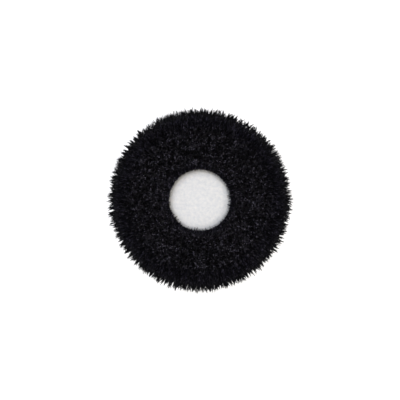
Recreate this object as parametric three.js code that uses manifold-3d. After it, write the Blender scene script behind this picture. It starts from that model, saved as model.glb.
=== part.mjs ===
// Furry windscreen: a short, round slip-on windscreen for an end-address microphone.
// A black faux-fur jacket with a round window is pulled over a white foam core. The core
// pushes onto a moulded base, whose rubber collar grips the microphone's body. The base
// lies on the XY plane, and the microphone's axis is +Z. All sizes are in millimetres.
import * as THREE from 'three';
import { mergeVertices } from 'three/addons/utils/BufferGeometryUtils.js';
import Module from 'manifold-3d';

const wasm = await Module();
wasm.setup();

// Driving dimensions.
const FIT_GAP = 0.3; // between pieces that touch
const RING_SEGMENTS = 40; // flats round every turned piece

const MIC_BORE_R = 10.5; // hole in the collar, for a 21 mm microphone body
const COLLAR_WALL = 2.5;
const COLLAR_HEIGHT = 14;
const FLANGE_THICK = 1.5;
const LIP_HEIGHT = 2; // lead-in at the collar's mouth
const LIP_OPENING = 0.8;

const CAGE_AIR = 2; // between the collar's wall and the cage
const CAGE_WALL = 1.5;
const FOOT_LEDGE = 1.5; // how far the cage's foot stands out from its wall
const CAGE_HEIGHT = 18; // above its foot
const CAGE_SLOTS = 8;
const SLOT_WIDTH = 5;
const SLOT_END = 2.5; // solid band left above and below the slots
const CAP_THICK = 1.2;
const CAP_SPIGOT = 1.6; // depth of the cap's locating rim
const CAP_HOLE_R = 2;
const CAP_HOLES = 8;
const CAP_HOLE_EDGE = 2.7; // from the outer holes to the cap's locating rim

const PLATE_THICK = 2.5; // floor of the base tray
const TRAY_HEIGHT = 9; // whole height of the tray's rim
const TRAY_WALL = 2;
const BOSS_WALL = 2; // ring that holds the collar's flange and the cage's foot

const FOAM_R = 34;
const FRONT_FOAM = 4.8; // foam between the cage's cap and the face pad
const FOAM_EDGE_R = 5; // round on the foam's front edge
const PAD_LAP = 1.3; // how far the face pad reaches past the window's binding
const PAD_RIM = 1.1; // thickness of the face pad's edge
const PAD_CROWN = 1.9; // how far the pad swells up into the window

const TAPE_THICK = 1.2; // hook tape
const LOOP_THICK = 1; // loop tape
const TAPE_WIDTH = 6; // hook tape, along the axis
const GROUND_THICK = 1.2; // knitted ground fabric of the fur
const PILE_LENGTH = 8;
const PILE_EDGE_R = 6.5; // round of the fur at the front edge
const PILE_FOOT_R = 4; // round of the fur at the hem
const PILE_FOOT = 1; // height of the lowest fur above the base face

const WINDOW_R = 15.2; // clear opening inside the window's binding
const BINDING_THICK = 0.6;
const BINDING_LEG = 2.5; // how far the binding covers each side of the fabric
const SEAM_SIZE = 1.2; // rolled seam allowance in the front corner

const ELASTIC_R = 0.7;
const CASING_THICK = 0.7; // fabric of the hem casing
const CASING_FOOT = 0.4; // height of the casing above the base face
const HEM_OVERLAP = 0.7; // how far the loop tape reaches above the hook tape

// Heights and radii that follow from them.
const collarOuterR = MIC_BORE_R + COLLAR_WALL;
const cageInnerR = collarOuterR + CAGE_AIR;
const cageOuterR = cageInnerR + CAGE_WALL;
const flangeR = cageOuterR + FOOT_LEDGE;
const bossInnerR = flangeR + FIT_GAP;
const bossOuterR = bossInnerR + BOSS_WALL;
const flangeBottom = PLATE_THICK + FIT_GAP;
const footBottom = flangeBottom + FLANGE_THICK + FIT_GAP;
const footTop = footBottom + CAGE_WALL;
const cageTop = footTop + CAGE_HEIGHT;
const capBottom = cageTop + FIT_GAP;
const capTop = capBottom + CAP_THICK;
const spigotR = cageInnerR - FIT_GAP;

const loopInnerR = FOAM_R + FIT_GAP;
const hookInnerR = FOAM_R - TAPE_THICK;
const trayOuterR = hookInnerR - FIT_GAP;
const trayInnerR = trayOuterR - TRAY_WALL;
const hookTop = TRAY_HEIGHT;
const hookBottom = hookTop - TAPE_WIDTH;

const foamBottom = PLATE_THICK + FIT_GAP;
const foamStep = TRAY_HEIGHT + FIT_GAP;
const socketTop = capTop + FIT_GAP;
const recessFloor = socketTop + FRONT_FOAM;
const padBottom = recessFloor + FIT_GAP;
const padTop = padBottom + PAD_RIM;
const padR = WINDOW_R + BINDING_LEG + PAD_LAP;
const foamTop = padTop + BINDING_THICK + FIT_GAP;
const groundBottom = foamTop + FIT_GAP;
const groundTop = groundBottom + GROUND_THICK;
const pileTop = groundTop + FIT_GAP + PILE_LENGTH;

const sideInnerR = FOAM_R + FIT_GAP;
const sideOuterR = sideInnerR + GROUND_THICK;
const pileInnerR = sideOuterR + FIT_GAP;
const pileOuterR = pileInnerR + PILE_LENGTH;
const casingInnerR = sideInnerR + FIT_GAP;
const casingOuterR = casingInnerR + 2 * (CASING_THICK + FIT_GAP + ELASTIC_R);
const casingTop = CASING_FOOT + CASING_THICK + 2 * (FIT_GAP + ELASTIC_R) + FIT_GAP;
const loopBottom = casingTop + FIT_GAP;
const loopTop = hookTop + HEM_OVERLAP;
const flareInnerR = loopInnerR + LOOP_THICK + FIT_GAP;
const flareOuterR = flareInnerR + GROUND_THICK;
const flareTop = loopTop + FIT_GAP;
const flareEnd = flareTop + 3 * LOOP_THICK;

const group = new THREE.Group();

// Fabric, foam and plastic finishes, as colour, roughness and metalness.
const finishes = {
  plastic: [0x1b1c1f, 0.5],
  rubber: [0x141414, 0.75],
  foam: [0xe9eae8, 0.95],
  fleece: [0xeeeeec, 1],
  knit: [0x1a1a1d, 0.95],
  fur: [0x101014, 0.9],
  tape: [0x161619, 0.9],
  elastic: [0x24242a, 0.85],
};

function addPiece(name, geometry, finish) {
  const [color, roughness] = finishes[finish];
  const material = new THREE.MeshStandardMaterial({ color, roughness, metalness: 0 });
  const mesh = new THREE.Mesh(geometry, material);
  mesh.name = name;
  group.add(mesh);
}

// Position-only copy with shared corners merged and flat triangles at the axis removed.
function closedGeometry(source) {
  const bare = source.clone();
  bare.deleteAttribute('normal');
  bare.deleteAttribute('uv');
  const merged = mergeVertices(bare, 1e-5);
  const corners = Array.from(merged.index.array);
  const kept = [];
  for (let i = 0; i < corners.length; i += 3) {
    const [a, b, c] = corners.slice(i, i + 3);
    if (a !== b && b !== c && c !== a) kept.push(a, b, c);
  }
  merged.setIndex(kept);
  return merged;
}

function toSolid(source) {
  const geometry = closedGeometry(source);
  const vertProperties = Float32Array.from(geometry.attributes.position.array);
  const triVerts = Uint32Array.from(geometry.index.array);
  return new wasm.Manifold(new wasm.Mesh({ numProp: 3, vertProperties, triVerts }));
}

function toGeometry(solid) {
  const mesh = solid.getMesh();
  const geometry = new THREE.BufferGeometry();
  geometry.setAttribute('position', new THREE.BufferAttribute(mesh.vertProperties, 3));
  geometry.setIndex(new THREE.BufferAttribute(mesh.triVerts, 1));
  return geometry;
}

function cutFrom(geometry, cutters) {
  let solid = toSolid(geometry);
  for (const cutter of cutters) {
    solid = solid.subtract(toSolid(cutter));
  }
  return toGeometry(solid);
}

// Turns an outline of [radius, height] points about +Z. The outline runs anticlockwise:
// up the outside, in along the top, down the inside and out along the bottom.
function turned(outline) {
  const points = outline.map(([radius, height]) => new THREE.Vector2(radius, height));
  const onAxis = outline[0][0] === 0 && outline[outline.length - 1][0] === 0;
  if (!onAxis) points.push(points[0].clone());
  const lathe = new THREE.LatheGeometry(points, RING_SEGMENTS);
  lathe.rotateX(Math.PI / 2);
  return closedGeometry(lathe);
}

function ringOutline(innerR, outerR, bottom, top) {
  return [[outerR, bottom], [outerR, top], [innerR, top], [innerR, bottom]];
}

// Points on an arc about [radius, height], from one angle to another in degrees.
function arc(centre, size, from, to, steps) {
  const points = [];
  for (let i = 0; i <= steps; i += 1) {
    const angle = THREE.MathUtils.degToRad(from + ((to - from) * i) / steps);
    points.push([centre[0] + size * Math.cos(angle), centre[1] + size * Math.sin(angle)]);
  }
  return points;
}

// Base: a tray with a boss round its middle hole.
function makeBaseRing() {
  const holeR = collarOuterR + FIT_GAP;
  const outline = [
    [trayOuterR, 0],
    [trayOuterR, TRAY_HEIGHT],
    [trayInnerR, TRAY_HEIGHT],
    [trayInnerR, PLATE_THICK],
    [bossOuterR, PLATE_THICK],
    [bossOuterR, footTop],
    [bossInnerR, footTop],
    [bossInnerR, PLATE_THICK],
    [holeR, PLATE_THICK],
    [holeR, 0],
  ];
  addPiece('base_ring', turned(outline), 'plastic');
}

// Rubber collar: its flange lies on the tray's floor, and its mouth flares for the microphone.
function makeMicCollar() {
  const outline = [
    [collarOuterR, 0],
    [collarOuterR, flangeBottom],
    [flangeR, flangeBottom],
    [flangeR, flangeBottom + FLANGE_THICK],
    [collarOuterR, flangeBottom + FLANGE_THICK],
    [collarOuterR, COLLAR_HEIGHT],
    [MIC_BORE_R + LIP_OPENING, COLLAR_HEIGHT],
    [MIC_BORE_R, COLLAR_HEIGHT - LIP_HEIGHT],
    [MIC_BORE_R, LIP_HEIGHT],
    [MIC_BORE_R + LIP_OPENING, 0],
  ];
  addPiece('mic_collar', turned(outline), 'rubber');
}

// Capsule cage: a slotted tube whose foot holds the collar's flange down in the boss.
function makeCapsuleCage() {
  const outline = [
    [flangeR, footBottom],
    [flangeR, footTop],
    [cageOuterR, footTop],
    [cageOuterR, cageTop],
    [cageInnerR, cageTop],
    [cageInnerR, footTop],
    [collarOuterR + FIT_GAP, footTop],
    [collarOuterR + FIT_GAP, footBottom],
  ];
  const slotHeight = CAGE_HEIGHT - 2 * SLOT_END;
  const slots = [];
  for (let i = 0; i < CAGE_SLOTS / 2; i += 1) {
    const slot = new THREE.BoxGeometry(3 * cageOuterR, SLOT_WIDTH, slotHeight);
    slot.translate(0, 0, footTop + CAGE_HEIGHT / 2);
    slot.rotateZ((i * 2 * Math.PI) / CAGE_SLOTS);
    slots.push(slot);
  }
  addPiece('capsule_cage', cutFrom(turned(outline), slots), 'plastic');
}

// Cage cap: a drilled disc with a spigot that drops into the cage's open end.
function makeCageCap() {
  const outline = [
    [0, capBottom],
    [spigotR - CAGE_WALL, capBottom],
    [spigotR - CAGE_WALL, capBottom - CAP_SPIGOT],
    [spigotR, capBottom - CAP_SPIGOT],
    [spigotR, capBottom],
    [cageOuterR, capBottom],
    [cageOuterR, capTop],
    [0, capTop],
  ];
  const pitchR = spigotR - CAGE_WALL - CAP_HOLE_EDGE - CAP_HOLE_R;
  const holes = [];
  for (let i = 0; i <= CAP_HOLES; i += 1) {
    const hole = new THREE.CylinderGeometry(CAP_HOLE_R, CAP_HOLE_R, 4 * CAP_THICK, 12);
    hole.rotateX(Math.PI / 2);
    const pitch = i === CAP_HOLES ? 0 : pitchR;
    hole.translate(pitch, 0, capBottom + CAP_THICK / 2);
    hole.rotateZ((i * 2 * Math.PI) / CAP_HOLES);
    holes.push(hole);
  }
  addPiece('cage_cap', cutFrom(turned(outline), holes), 'plastic');
}

// Foam core: sits in the tray, with a stepped socket for the boss and the cage.
function makeFoamCore() {
  const edgeCentre = [FOAM_R - FOAM_EDGE_R, foamTop - FOAM_EDGE_R];
  const recessR = padR + FIT_GAP;
  const outline = [
    [0, socketTop],
    [cageOuterR + FIT_GAP, socketTop],
    [cageOuterR + FIT_GAP, footTop + FIT_GAP],
    [bossOuterR + FIT_GAP, footTop + FIT_GAP],
    [bossOuterR + FIT_GAP, foamBottom],
    [trayInnerR - FIT_GAP, foamBottom],
    [trayInnerR - FIT_GAP, foamStep],
    [FOAM_R, foamStep],
    ...arc(edgeCentre, FOAM_EDGE_R, 0, 90, 4),
    [recessR, foamTop],
    [recessR, recessFloor],
    [0, recessFloor],
  ];
  addPiece('foam_core', turned(outline), 'foam');
}

// Face pad: white fleece disc let into the foam, swelling a little in the window.
function makeFacePad() {
  const crownR = WINDOW_R - FIT_GAP;
  const domeR = (crownR ** 2 + PAD_CROWN ** 2) / (2 * PAD_CROWN);
  const domeCentre = [0, padTop + PAD_CROWN - domeR];
  const edgeAngle = 90 - THREE.MathUtils.radToDeg(Math.asin(crownR / domeR));
  const dome = arc(domeCentre, domeR, edgeAngle, 90, 5);
  dome[dome.length - 1][0] = 0;
  const outline = [[0, padBottom], [padR, padBottom], [padR, padTop], ...dome];
  addPiece('face_pad', turned(outline), 'fleece');
}

// Hook tape on the tray's rim and loop tape inside the jacket's hem.
function makeClosureTapes() {
  const hook = ringOutline(hookInnerR, FOAM_R, hookBottom, hookTop);
  const loop = ringOutline(loopInnerR, loopInnerR + LOOP_THICK, loopBottom, loopTop);
  addPiece('hook_tape', turned(hook), 'tape');
  addPiece('loop_tape', turned(loop), 'tape');
}

// Ground fabric: the front panel, and the side band that flares over the loop tape.
function makeGroundFabric() {
  const panelInnerR = WINDOW_R + BINDING_THICK + FIT_GAP;
  const panel = ringOutline(panelInnerR, sideOuterR, groundBottom, groundTop);
  const band = [
    [flareOuterR, loopBottom],
    [flareOuterR, flareTop],
    [sideOuterR, flareEnd],
    [sideOuterR, foamTop],
    [sideInnerR, foamTop],
    [sideInnerR, flareEnd],
    [flareInnerR, flareTop],
    [flareInnerR, loopBottom],
  ];
  addPiece('front_ground', turned(panel), 'knit');
  addPiece('side_ground', turned(band), 'knit');
}

// Pile: the space that the standing fur fills, on the front panel and on the side band.
function makePile() {
  const bindingTop = groundTop + FIT_GAP + BINDING_THICK;
  const bindingOuterR = WINDOW_R + BINDING_LEG;
  const seamHeight = groundTop + FIT_GAP / 2;
  const frontEdge = [pileOuterR - PILE_EDGE_R, pileTop - PILE_EDGE_R];
  const front = [
    [pileOuterR, seamHeight + FIT_GAP / 2],
    ...arc(frontEdge, PILE_EDGE_R, 0, 90, 5),
    [WINDOW_R, pileTop],
    [WINDOW_R, bindingTop + FIT_GAP],
    [bindingOuterR + FIT_GAP, bindingTop + FIT_GAP],
    [bindingOuterR + FIT_GAP, groundTop + FIT_GAP],
  ];
  const footEdge = [pileOuterR - PILE_FOOT_R, PILE_FOOT + PILE_FOOT_R];
  const hemR = casingOuterR + FIT_GAP;
  const side = [
    ...arc(footEdge, PILE_FOOT_R, -90, 0, 4),
    [pileOuterR, seamHeight - FIT_GAP / 2],
    [pileInnerR, seamHeight - FIT_GAP / 2],
    [pileInnerR, flareEnd],
    [flareOuterR + FIT_GAP, flareTop],
    [hemR, casingTop],
    [hemR, PILE_FOOT],
  ];
  addPiece('front_pile', turned(front), 'fur');
  addPiece('side_pile', turned(side), 'fur');
}

// Window binding: a folded tape over the cut edge of the front panel.
function makeWindowBinding() {
  const webR = WINDOW_R + BINDING_THICK;
  const legR = WINDOW_R + BINDING_LEG;
  const lowerTop = groundBottom - FIT_GAP;
  const upperBottom = groundTop + FIT_GAP;
  const outline = [
    [legR, lowerTop - BINDING_THICK],
    [legR, lowerTop],
    [webR, lowerTop],
    [webR, upperBottom],
    [legR, upperBottom],
    [legR, upperBottom + BINDING_THICK],
    [WINDOW_R, upperBottom + BINDING_THICK],
    [WINDOW_R, lowerTop - BINDING_THICK],
  ];
  addPiece('window_binding', turned(outline), 'tape');
}

// Rim seam: the seam allowance of panel and band, rolled into the jacket's front corner.
function makeRimSeam() {
  const outerR = sideInnerR - FIT_GAP;
  const top = groundBottom - FIT_GAP;
  const outline = ringOutline(outerR - SEAM_SIZE, outerR, top - SEAM_SIZE, top);
  addPiece('rim_seam', turned(outline), 'knit');
}

// Hem: a folded casing with the elastic cord running inside it.
function makeHem() {
  const casing = [
    [casingOuterR, CASING_FOOT],
    [casingOuterR, casingTop],
    [casingOuterR - CASING_THICK, casingTop],
    [casingOuterR - CASING_THICK, CASING_FOOT + CASING_THICK],
    [casingInnerR + CASING_THICK, CASING_FOOT + CASING_THICK],
    [casingInnerR + CASING_THICK, casingTop],
    [casingInnerR, casingTop],
    [casingInnerR, CASING_FOOT],
  ];
  const cordR = (casingInnerR + casingOuterR) / 2;
  const cordHeight = CASING_FOOT + CASING_THICK + FIT_GAP + ELASTIC_R;
  const cord = arc([cordR, cordHeight], ELASTIC_R, 0, 315, 7);
  addPiece('hem_casing', turned(casing), 'knit');
  addPiece('hem_elastic', turned(cord), 'elastic');
}

makeBaseRing();
makeMicCollar();
makeCapsuleCage();
makeCageCap();
makeFoamCore();
makeFacePad();
makeClosureTapes();
makeGroundFabric();
makePile();
makeWindowBinding();
makeRimSeam();
makeHem();

export default group;
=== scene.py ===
"""Furry windscreen: a black faux-fur jacket over a white foam core on a moulded base.

The sections follow the windscreen as it is put together: studio, base, core, then jacket.
"""
import math
import random

import bmesh
import bpy
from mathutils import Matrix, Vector, noise


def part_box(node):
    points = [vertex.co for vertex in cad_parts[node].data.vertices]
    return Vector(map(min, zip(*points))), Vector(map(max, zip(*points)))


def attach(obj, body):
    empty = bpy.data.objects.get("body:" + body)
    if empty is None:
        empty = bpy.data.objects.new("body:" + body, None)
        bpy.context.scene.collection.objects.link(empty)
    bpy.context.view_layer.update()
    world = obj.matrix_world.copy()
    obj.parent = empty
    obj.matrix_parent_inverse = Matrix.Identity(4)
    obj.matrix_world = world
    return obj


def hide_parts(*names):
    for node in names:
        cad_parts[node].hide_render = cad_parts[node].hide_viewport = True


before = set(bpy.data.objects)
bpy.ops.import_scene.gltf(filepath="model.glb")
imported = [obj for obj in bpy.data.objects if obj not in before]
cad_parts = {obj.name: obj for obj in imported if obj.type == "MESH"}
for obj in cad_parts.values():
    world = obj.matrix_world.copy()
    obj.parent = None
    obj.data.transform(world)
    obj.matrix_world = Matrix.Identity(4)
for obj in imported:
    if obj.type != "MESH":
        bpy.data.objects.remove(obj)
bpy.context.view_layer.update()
MM = 0.001

# Studio. Plain white paper, and a camera that looks straight down the windscreen's axis
# from half a metre, as a product is shot on a copy stand.
scene = bpy.context.scene
scene.view_settings.view_transform = "Standard"
LENS = 85.0
SENSOR = 36.0
FRAME_WIDTH = 197 * MM  # seen across the fur's widest level
WIDEST_LEVEL = 32 * MM
CAMERA_OFFSET = 0.1 * MM
FLOOR_HALF = 3.0
FLOOR_DROP = 0.02 * MM
PAPER_LIFT = 0.72
LIFT_NEAR = 0.2
LIFT_FAR = 0.8
SKY_STRENGTH = 0.22


def add_node(tree, kind, inputs=None, **settings):
    """One node with its settings. Each input is a value or the socket that feeds it."""
    node = tree.nodes.new(kind)
    for name, value in settings.items():
        setattr(node, name, value)
    for key, value in (inputs or {}).items():
        if isinstance(value, bpy.types.NodeSocket):
            tree.links.new(value, node.inputs[key])
        else:
            node.inputs[key].default_value = value
    return node


def linear(hex_text):
    """An sRGB hex colour as linear red, green, blue and alpha."""
    parts = [int(hex_text[i:i + 2], 16) / 255 for i in (1, 3, 5)]
    return [c / 12.92 if c <= 0.04045 else ((c + 0.055) / 1.055) ** 2.4 for c in parts] + [1.0]


def new_material(name, colour, roughness, ior=1.5, specular=0.5):
    """A Principled material with plain values. Returns it, its tree and its shader."""
    mat = bpy.data.materials.new(name)
    mat.use_nodes = True
    shader = mat.node_tree.nodes["Principled BSDF"]
    shader.inputs["Base Color"].default_value = linear(colour)
    shader.inputs["Roughness"].default_value = roughness
    shader.inputs["IOR"].default_value = ior
    shader.inputs["Specular IOR Level"].default_value = specular
    return mat, mat.node_tree, shader


def wandering(tree, size, detail=2.0, **more):
    """A value that wanders from 0 to 1 through the piece over distances of about size mm."""
    coords = add_node(tree, "ShaderNodeTexCoord")
    patchy = add_node(tree, "ShaderNodeTexNoise", {
        "Vector": coords.outputs["Object"], "Scale": 1 / (size * MM), "Detail": detail, **more})
    return patchy.outputs["Fac"]


def finished(tree, shader, amount, dark, light, height=None, strength=0.0, depth=0.0):
    """A surface that runs from dark to light with amount, over fine relief up to depth mm."""
    tone = add_node(tree, "ShaderNodeMix", {
        "Factor": amount, 6: linear(dark), 7: linear(light)}, data_type="RGBA")
    tree.links.new(tone.outputs[2], shader.inputs["Base Color"])
    if height is not None:
        relief = add_node(tree, "ShaderNodeBump", {
            "Height": height, "Strength": strength, "Distance": depth * MM})
        tree.links.new(relief.outputs[0], shader.inputs["Normal"])


def uneven_gloss(tree, shader, size, low, high):
    """Lets the roughness wander between two values over a distance of size mm."""
    spread = add_node(tree, "ShaderNodeMapRange", {
        "Value": wandering(tree, size), "From Min": 0.3, "From Max": 0.7, "To Min": low, "To Max": high})
    tree.links.new(spread.outputs[0], shader.inputs["Roughness"])


camera_data = bpy.data.cameras.new("studio_camera")
camera_data.lens = LENS
camera_data.sensor_width = SENSOR
camera = bpy.data.objects.new("studio_camera", camera_data)
camera.location = (CAMERA_OFFSET, CAMERA_OFFSET, WIDEST_LEVEL + FRAME_WIDTH * LENS / SENSOR)
scene.collection.objects.link(camera)
scene.camera = camera

# What the camera and glossy rays see of the paper is lifted to plain white. The shadow
# still shows where the windscreen stands.
paper, tree, shader = new_material("white_paper", "#D8D8D8", 0.9, specular=0.1)
path = add_node(tree, "ShaderNodeLightPath")
seen = add_node(tree, "ShaderNodeMath", {
    0: path.outputs["Is Camera Ray"], 1: path.outputs["Is Glossy Ray"]}, operation="MAXIMUM")
seen = add_node(tree, "ShaderNodeMath", {
    0: seen.outputs[0], 1: path.outputs["Is Transmission Ray"]}, operation="MAXIMUM")
where = add_node(tree, "ShaderNodeTexCoord")
away = add_node(tree, "ShaderNodeVectorMath", {0: where.outputs["Object"]}, operation="LENGTH")
level = add_node(tree, "ShaderNodeMapRange", {
    "Value": away.outputs["Value"], "From Min": LIFT_NEAR, "From Max": LIFT_FAR,
    "To Min": PAPER_LIFT, "To Max": 1.0})
lift = add_node(tree, "ShaderNodeMath", {0: seen.outputs[0], 1: level.outputs[0]}, operation="MULTIPLY")
shader.inputs["Emission Color"].default_value = (1, 1, 1, 1)
tree.links.new(lift.outputs[0], shader.inputs["Emission Strength"])

floor_mesh = bpy.data.meshes.new("floor")
corners = [(-FLOOR_HALF, -FLOOR_HALF, 0), (FLOOR_HALF, -FLOOR_HALF, 0),
           (FLOOR_HALF, FLOOR_HALF, 0), (-FLOOR_HALF, FLOOR_HALF, 0)]
floor_mesh.from_pydata(corners, [], [(0, 1, 2, 3)])
floor_mesh.materials.append(paper)
floor = bpy.data.objects.new("floor", floor_mesh)
floor.location.z = -FLOOR_DROP
scene.collection.objects.link(floor)

world = bpy.data.worlds.new("studio")
scene.world = world
world.use_nodes = True
tree = world.node_tree
path = add_node(tree, "ShaderNodeLightPath")
plain = add_node(tree, "ShaderNodeMapRange", {
    "Value": path.outputs["Is Camera Ray"], "To Min": SKY_STRENGTH, "To Max": 1.0})
tree.nodes["Background"].inputs["Color"].default_value = (1, 1, 1, 1)
tree.links.new(plain.outputs[0], tree.nodes["Background"].inputs["Strength"])

# Two soft boxes: a stronger, cooler one at the upper left and a warmer one on the right.
SOFT_BOXES = {
    "key_box": ((-0.10, 0.15, 0.98), 0.5, 5.7, "#F1F5FF"),
    "fill_box": ((0.15, -0.09, 0.98), 0.5, 4.1, "#FFF5E6"),
}
for name, (place, size, watts, tint) in SOFT_BOXES.items():
    data = bpy.data.lights.new(name, "AREA")
    data.size = size
    data.energy = watts
    data.color = linear(tint)[:3]
    lamp = bpy.data.objects.new(name, data)
    lamp.location = place
    aim = Vector((0, 0, WIDEST_LEVEL)) - Vector(place)
    lamp.rotation_euler = aim.to_track_quat("-Z", "Y").to_euler()
    scene.collection.objects.link(lamp)


# Base tray. A shallow round tray moulded in matt black ABS, with a boss round its middle
# hole. Its flat underside is what the windscreen stands on.
TRAY_WALL = 2.0
PLATE = 2.5
BOSS_WALL = 2.0
FIT = 0.3  # clearance between pieces that touch, as in the model
COLLAR_WALL_R = 13.0
FOOT_THICK = 1.5  # foot of the cage, level with the top of the boss
TURN_STEPS = 144


def node_size(node):
    """Outer radius, bottom and top of a turned piece of the frame, in mm."""
    low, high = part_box(node)
    return high[0] / MM, low[2] / MM, high[2] / MM


def softened(outline, radius, steps=3):
    """A closed outline of [radius, height] points with its corners rounded over."""
    points = []
    count = len(outline)
    for k in range(count):
        here = Vector(outline[k])
        before = Vector(outline[k - 1]) - here
        after = Vector(outline[(k + 1) % count]) - here
        start = here + before.normalized() * min(radius, 0.4 * before.length)
        end = here + after.normalized() * min(radius, 0.4 * after.length)
        for step in range(steps + 1):
            t = step / steps
            point = start * (1 - t) ** 2 + here * 2 * t * (1 - t) + end * t ** 2
            points.append((point.x, point.y))
    return points


def turned_mesh(name, outline, steps=TURN_STEPS, closed=True, start=0.0, sweep=2 * math.pi):
    """A turned surface in metres from an outline in mm, with a UV map in mm along and up it.

    The outline runs up the outside, in along the top and down the inside.
    """
    rows = len(outline)
    whole = math.isclose(sweep, 2 * math.pi)
    columns = steps if whole else steps + 1
    verts = []
    for k in range(columns):
        angle = start + sweep * k / steps
        verts += [(r * MM * math.cos(angle), r * MM * math.sin(angle), z * MM) for r, z in outline]
    spans = rows if closed else rows - 1
    lengths = [0.0]
    for i in range(spans):
        step = Vector(outline[(i + 1) % rows]) - Vector(outline[i])
        lengths.append(lengths[-1] + step.length)
    around = sweep * max(r for r, z in outline)
    faces, places = [], []
    for k in range(steps):
        n = (k + 1) % columns
        left, right = around * k / steps, around * (k + 1) / steps
        for i in range(spans):
            j = (i + 1) % rows
            faces.append((k * rows + i, n * rows + i, n * rows + j, k * rows + j))
            low, high = lengths[i], lengths[i + 1]
            places += [(left, low), (right, low), (right, high), (left, high)]
    mesh = bpy.data.meshes.new(name)
    mesh.from_pydata(verts, [], faces)
    layer = mesh.uv_layers.new(name="along_mm")
    for corner, place in zip(layer.data, places):
        corner.uv = place
    mesh.update()
    return mesh


def add_piece(mesh, body, slot, node, *materials, smooth=True):
    """Makes a mesh a piece of the same name, with its body and CAD node. Its slot argument is not used."""
    piece = bpy.data.objects.new(mesh.name, mesh)
    scene.collection.objects.link(piece)
    for mat in materials:
        mesh.materials.append(mat)
    if smooth:
        for face in mesh.polygons:
            face.use_smooth = True
    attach(piece, body)
    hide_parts(node)
    return piece


def clean_up(mesh):
    """Merges doubled points and turns every face outward."""
    work = bmesh.new()
    work.from_mesh(mesh)
    bmesh.ops.remove_doubles(work, verts=work.verts, dist=1e-7)
    bmesh.ops.recalc_face_normals(work, faces=work.faces)
    work.to_mesh(mesh)
    work.free()
    mesh.update()


# Matt ABS off a spark-eroded mould: a dark grey black with a fine even grain that scatters
# highlights. The grain is about 0.1 mm and is drawn at 0.35 mm so that it shows.
SPARK_GRAIN = 0.35
abs_black, tree, shader = new_material("moulded_matt_abs", "#1B1C1E", 0.5, ior=1.54, specular=0.4)
finished(tree, shader, wandering(tree, 9.0), "#17181A", "#222326",
         wandering(tree, SPARK_GRAIN, 3.0), 0.25, 0.05)
uneven_gloss(tree, shader, SPARK_GRAIN, 0.46, 0.58)

tray_r, tray_low, tray_top = node_size("base_ring")
foot_r, foot_low, foot_top = node_size("capsule_cage")
boss_in = foot_r + FIT
boss_top = foot_low + FOOT_THICK
tray_line = [
    (tray_r, tray_low), (tray_r, tray_top), (tray_r - TRAY_WALL, tray_top), (tray_r - TRAY_WALL, PLATE),
    (boss_in + BOSS_WALL, PLATE), (boss_in + BOSS_WALL, boss_top), (boss_in, boss_top), (boss_in, PLATE),
    (COLLAR_WALL_R + FIT, PLATE), (COLLAR_WALL_R + FIT, tray_low),
]
add_piece(turned_mesh("base_tray", softened(tray_line, 0.4)), "base", "base_plastic", "base_ring",
          abs_black)


# Microphone collar. A soft rubber sleeve whose flange is trapped in the boss. Three grip
# ribs run round its bore, and both mouths flare so that the microphone slides in.
GRIP_RIB = 0.3
RIB_LEVELS = (10.0, 7.5, 5.0)
RIB_FOOT = 0.5  # half a rib's height at its foot, and at its crest
RIB_CREST = 0.15
collar_r, collar_low, collar_top = node_size("mic_collar")
BORE_R = 10.5
LEAD = 2.0
FLARE = 0.8
FLANGE_LOW = PLATE + FIT
FLANGE_THICK = 1.5
FLANGE_HIGH = FLANGE_LOW + FLANGE_THICK

# Moulded TPE rubber: nearly black, matt, a little dusty in its low spots.
rubber, tree, shader = new_material("moulded_tpe_rubber", "#131313", 0.78, ior=1.5, specular=0.3)
finished(tree, shader, wandering(tree, 3.0, 5.0), "#0F0F0F", "#202020", wandering(tree, 0.3), 0.2,
         0.04)

collar_line = [
    (COLLAR_WALL_R, collar_low), (COLLAR_WALL_R, FLANGE_LOW), (collar_r, FLANGE_LOW),
    (collar_r, FLANGE_HIGH), (COLLAR_WALL_R, FLANGE_HIGH), (COLLAR_WALL_R, collar_top),
    (BORE_R + FLARE, collar_top), (BORE_R, collar_top - LEAD),
]
for level in RIB_LEVELS:
    collar_line += [(BORE_R, level + RIB_FOOT), (BORE_R - GRIP_RIB, level + RIB_CREST),
                    (BORE_R - GRIP_RIB, level - RIB_CREST), (BORE_R, level - RIB_FOOT)]
collar_line += [(BORE_R, collar_low + LEAD), (BORE_R + FLARE, collar_low)]
add_piece(turned_mesh("rubber_collar", softened(collar_line, 0.25, 2), 96), "base", "collar_rubber",
          "mic_collar", rubber)


# Capsule cage. A slotted tube that keeps the foam off the microphone's capsule, with a
# foot that holds the collar down, and a drilled cap that drops into its open end.
CAGE_WALL = 1.5
CAGE_SLOTS = 8
SLOT_WIDTH = 5.0
SLOT_END = 2.5
SLOT_COLUMNS = 6  # mesh columns across a slot, and across the post beside it
POST_COLUMNS = 12
TUBE_SUNK = 0.02  # the tube dips this far into its foot
CAP_HOLE_R = 2.0
CAP_HOLES = 8
CAP_PITCH_R = 8.5
CAP_PLATE = 1.2
CAP_SPIGOT_DEEP = 1.6
CAP_EDGE = 0.15  # round on the cap's edges

# The cage is moulded in smooth black nylon, a little glossier than the tray.
nylon, tree, shader = new_material("moulded_black_nylon", "#1A1A1C", 0.38, ior=1.53, specular=0.45)
finished(tree, shader, wandering(tree, 4.0, 3.0, Distortion=0.6), "#161618", "#242427")
uneven_gloss(tree, shader, 4.0, 0.34, 0.46)


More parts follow.
